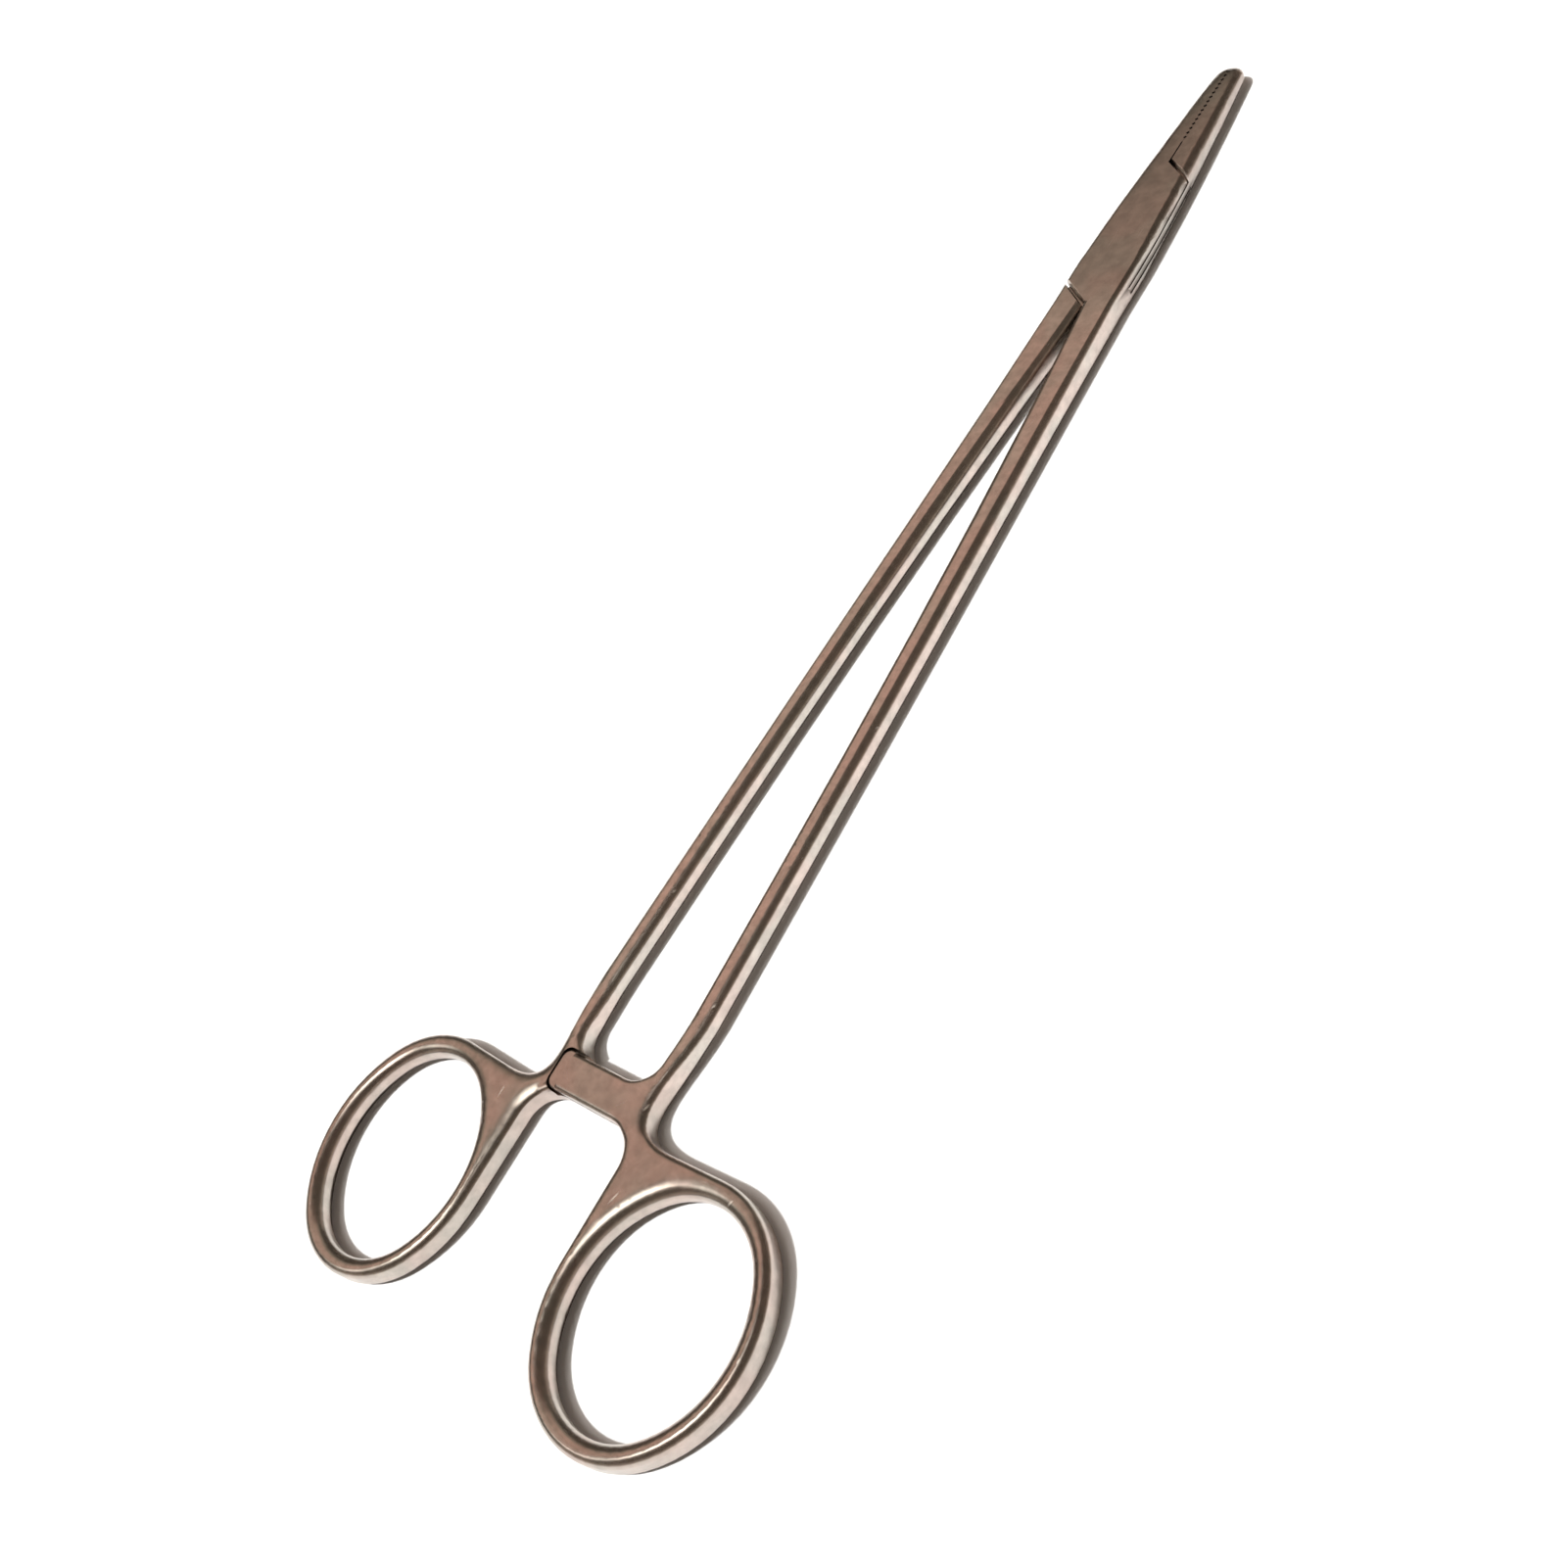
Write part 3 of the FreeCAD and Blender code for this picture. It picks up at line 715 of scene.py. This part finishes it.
def table_paper(tone):
    """Matt white card, uncoated and smooth, which looks an even white without gloss. Rays from the camera, a mirror
    or a lens also meet a faint warm white of its own, which tints the shadow on it and lights nothing else."""
    made = bpy.data.materials.new("matt_white_card")
    made.use_nodes = True
    tree = made.node_tree
    tree.nodes.clear()
    card = add_node(tree, "ShaderNodeBsdfDiffuse", values={"Color": (*tone, 1.0)})
    seen = add_node(tree, "ShaderNodeLightPath")
    camera_or_gloss = add_node(
        tree,
        "ShaderNodeMath",
        {"operation": "MAXIMUM"},
        links={0: seen.outputs["Is Camera Ray"], 1: seen.outputs["Is Glossy Ray"]},
    )
    any_of_three = add_node(
        tree,
        "ShaderNodeMath",
        {"operation": "MAXIMUM"},
        links={0: camera_or_gloss.outputs[0], 1: seen.outputs["Is Transmission Ray"]},
    )
    strength = add_node(
        tree, "ShaderNodeMath", {"operation": "MULTIPLY"}, {1: CARD_GLOW}, {0: any_of_three.outputs[0]}
    )
    own = add_node(
        tree, "ShaderNodeEmission", values={"Color": CARD_GLOW_TONE}, links={"Strength": strength.outputs[0]}
    )
    both = add_node(tree, "ShaderNodeAddShader", links={0: card.outputs[0], 1: own.outputs[0]})
    add_node(tree, "ShaderNodeOutputMaterial", links={"Surface": both.outputs[0]})
    return made


ROOM_AHEAD = (  # behind the instrument, seen from the camera: sine of the height and the colour there
    (0.00, "8a7d72"),
    (0.12, "4f4740"),
    (0.38, "453d37"),
    (0.50, "878378"),
    (0.57, "aca392"),
    (0.63, "e0bcac"),
    (0.70, "e6c3b6"),
    (0.75, "d8b4a4"),
    (0.83, "d4b9aa"),
    (0.89, "7d7066"),
)
ROOM_BEHIND = (  # the camera's side of the room
    (0.00, "d8ccc2"),
    (0.12, "c4b6aa"),
    (0.28, "8a7f74"),
    (0.46, "655a50"),
    (1.00, "554b42"),
)
ROOM_AXIS = (-0.966, 0.259, 0.0)  # level direction to the middle of the lighter side
ROOM_SEAM = (0.4, 0.56)  # cosine of the angle from it, between which one side turns into the other
WINDOW_TONE = (4.6, 4.4, 4.1, 1.0)  # linear
WINDOW_LIFT = 0.4  # how far the key light's window is raised above the light's own direction
WINDOW_ANGLES = (17.0, 11.0)  # degrees from a window's middle at which it begins and is full
LOW_WINDOW = (-0.51, -0.56, 0.65)  # direction to a dimmer window, which shoulders that face the ring end mirror
LOW_WINDOW_ANGLES = (14.0, 8.0)
LOW_WINDOW_SHARE = 0.4


def room_light(window_way):
    """The plain room round the table: brown-grey, with a lighter wall beyond the instrument, a dark ceiling and two
    soft windows."""
    world = bpy.data.worlds.new("brown_grey_room")
    bpy.context.scene.world = world
    world.use_nodes = True
    tree = world.node_tree
    tree.nodes.clear()
    place = add_node(tree, "ShaderNodeTexCoord")
    apart = add_node(tree, "ShaderNodeSeparateXYZ", links={"Vector": place.outputs["Generated"]})
    sides = []
    for wall in (ROOM_AHEAD, ROOM_BEHIND):
        ramp = add_node(tree, "ShaderNodeValToRGB", links={"Fac": apart.outputs["Z"]})
        steps = ramp.color_ramp.elements
        while len(steps) < len(wall):
            steps.new(0.5)  # each is moved to its own height next
        for step, (height, colour) in zip(steps, wall):
            step.position = height
            step.color = opaque(colour)
        sides.append(ramp.outputs["Color"])
    ahead = add_node(
        tree,
        "ShaderNodeVectorMath",
        {"operation": "DOT_PRODUCT"},
        {1: ROOM_AXIS},
        {0: place.outputs["Generated"]},
    )
    share = add_node(
        tree,
        "ShaderNodeMapRange",
        {"interpolation_type": "SMOOTHSTEP"},
        {"From Min": ROOM_SEAM[0], "From Max": ROOM_SEAM[1]},
        {"Value": ahead.outputs["Value"]},
    )
    both = add_node(
        tree,
        "ShaderNodeMix",
        {"data_type": "RGBA"},
        links={"Factor": share.outputs["Result"], "A": sides[1], "B": sides[0]},
    )

    # The windows, as the steel mirrors them: the one that the key light comes through, and the low one.
    windows = []
    for way, angles, brightness in (
        (window_way, WINDOW_ANGLES, 1.0),
        (LOW_WINDOW, LOW_WINDOW_ANGLES, LOW_WINDOW_SHARE),
    ):
        toward = add_node(
            tree,
            "ShaderNodeVectorMath",
            {"operation": "DOT_PRODUCT"},
            {1: way},
            {0: place.outputs["Generated"]},
        )
        begins, full = (math.cos(math.radians(angle)) for angle in angles)
        window = add_node(
            tree,
            "ShaderNodeMapRange",
            {"interpolation_type": "SMOOTHSTEP"},
            {"From Min": begins, "From Max": full, "To Max": brightness},
            {"Value": toward.outputs["Value"]},
        )
        windows.append(window.outputs["Result"])
    either = add_node(tree, "ShaderNodeMath", {"operation": "MAXIMUM"}, links={0: windows[0], 1: windows[1]})
    lit = add_node(
        tree,
        "ShaderNodeMix",
        {"data_type": "RGBA"},
        {"B": WINDOW_TONE},
        {"Factor": either.outputs[0], "A": both.outputs["Result"]},
    )
    light = add_node(
        tree, "ShaderNodeBackground", values={"Strength": 1.0}, links={"Color": lit.outputs["Result"]}
    )
    add_node(tree, "ShaderNodeOutputWorld", links={"Surface": light.outputs["Background"]})


class NEEDLEHOLDER_OT_stage(bpy.types.Operator):
    """Set the white table, the room's light, the key light and the camera"""

    bl_idname = "needle_holder.stage"
    bl_label = "Table, light and camera"

    def execute(self, context):
        scene = context.scene
        stage = scene.needle_holder_stage

        table = bpy.data.objects.new("white_table", table_surface(stage.table_reach, stage.table_rings))
        table.data.materials.append(table_paper(stage.table_tone))
        scene.collection.objects.link(table)

        to_key = mathutils.Euler(stage.key_turn).to_matrix().col[2]
        room_light((to_key + mathutils.Vector((0.0, 0.0, WINDOW_LIFT))).normalized())
        sun = bpy.data.lights.new("key_light", "SUN")
        sun.energy = stage.key_strength
        sun.angle = stage.key_spread
        key = bpy.data.objects.new("key_light", sun)
        key.rotation_euler = stage.key_turn
        key.visible_glossy = False
        scene.collection.objects.link(key)

        eye = bpy.data.cameras.new("photo_angle")
        eye.sensor_width = 36.0
        eye.lens = stage.camera_lens
        eye.shift_x, eye.shift_y = stage.camera_shift
        eye.clip_start = 0.005
        eye.clip_end = 20.0
        camera = bpy.data.objects.new("photo_angle", eye)
        camera.location = stage.camera_place
        camera.rotation_euler = stage.camera_turn
        scene.collection.objects.link(camera)
        scene.camera = camera

        scene.view_settings.view_transform = "Standard"
        return {"FINISHED"}


class NEEDLEHOLDER_PT_panel(bpy.types.Panel):
    """Lists the steps and the finish"""

    bl_label = "Needle holder"
    bl_idname = "NEEDLEHOLDER_PT_panel"
    bl_space_type = "VIEW_3D"
    bl_region_type = "UI"
    bl_category = "Needle holder"

    def draw(self, context):
        for step in STEPS:
            self.layout.operator(step.bl_idname)
        for group in (context.scene.needle_holder_steel, context.scene.needle_holder_stage):
            box = self.layout.box()
            for name in group.bl_rna.properties.keys():
                if name not in ("rna_type", "name"):
                    box.prop(group, name)


STEPS = (
    NEEDLEHOLDER_OT_female_half,
    NEEDLEHOLDER_OT_male_half,
    NEEDLEHOLDER_OT_pivot_pin,
    NEEDLEHOLDER_OT_stage,
)
CLASSES = (NeedleHolderSteel, NeedleHolderStage, *STEPS, NEEDLEHOLDER_PT_panel)


def register():
    for kind in CLASSES:
        bpy.utils.register_class(kind)
    bpy.types.Scene.needle_holder_steel = PointerProperty(type=NeedleHolderSteel)
    bpy.types.Scene.needle_holder_stage = PointerProperty(type=NeedleHolderStage)


def unregister():
    del bpy.types.Scene.needle_holder_stage
    del bpy.types.Scene.needle_holder_steel
    for kind in reversed(CLASSES):
        bpy.utils.unregister_class(kind)


def main():
    register()
    bpy.ops.needle_holder.female_half()
    bpy.ops.needle_holder.male_half()
    bpy.ops.needle_holder.pivot_pin()
    bpy.ops.needle_holder.stage()
    bpy.context.view_layer.update()


if __name__ == "__main__":
    main()
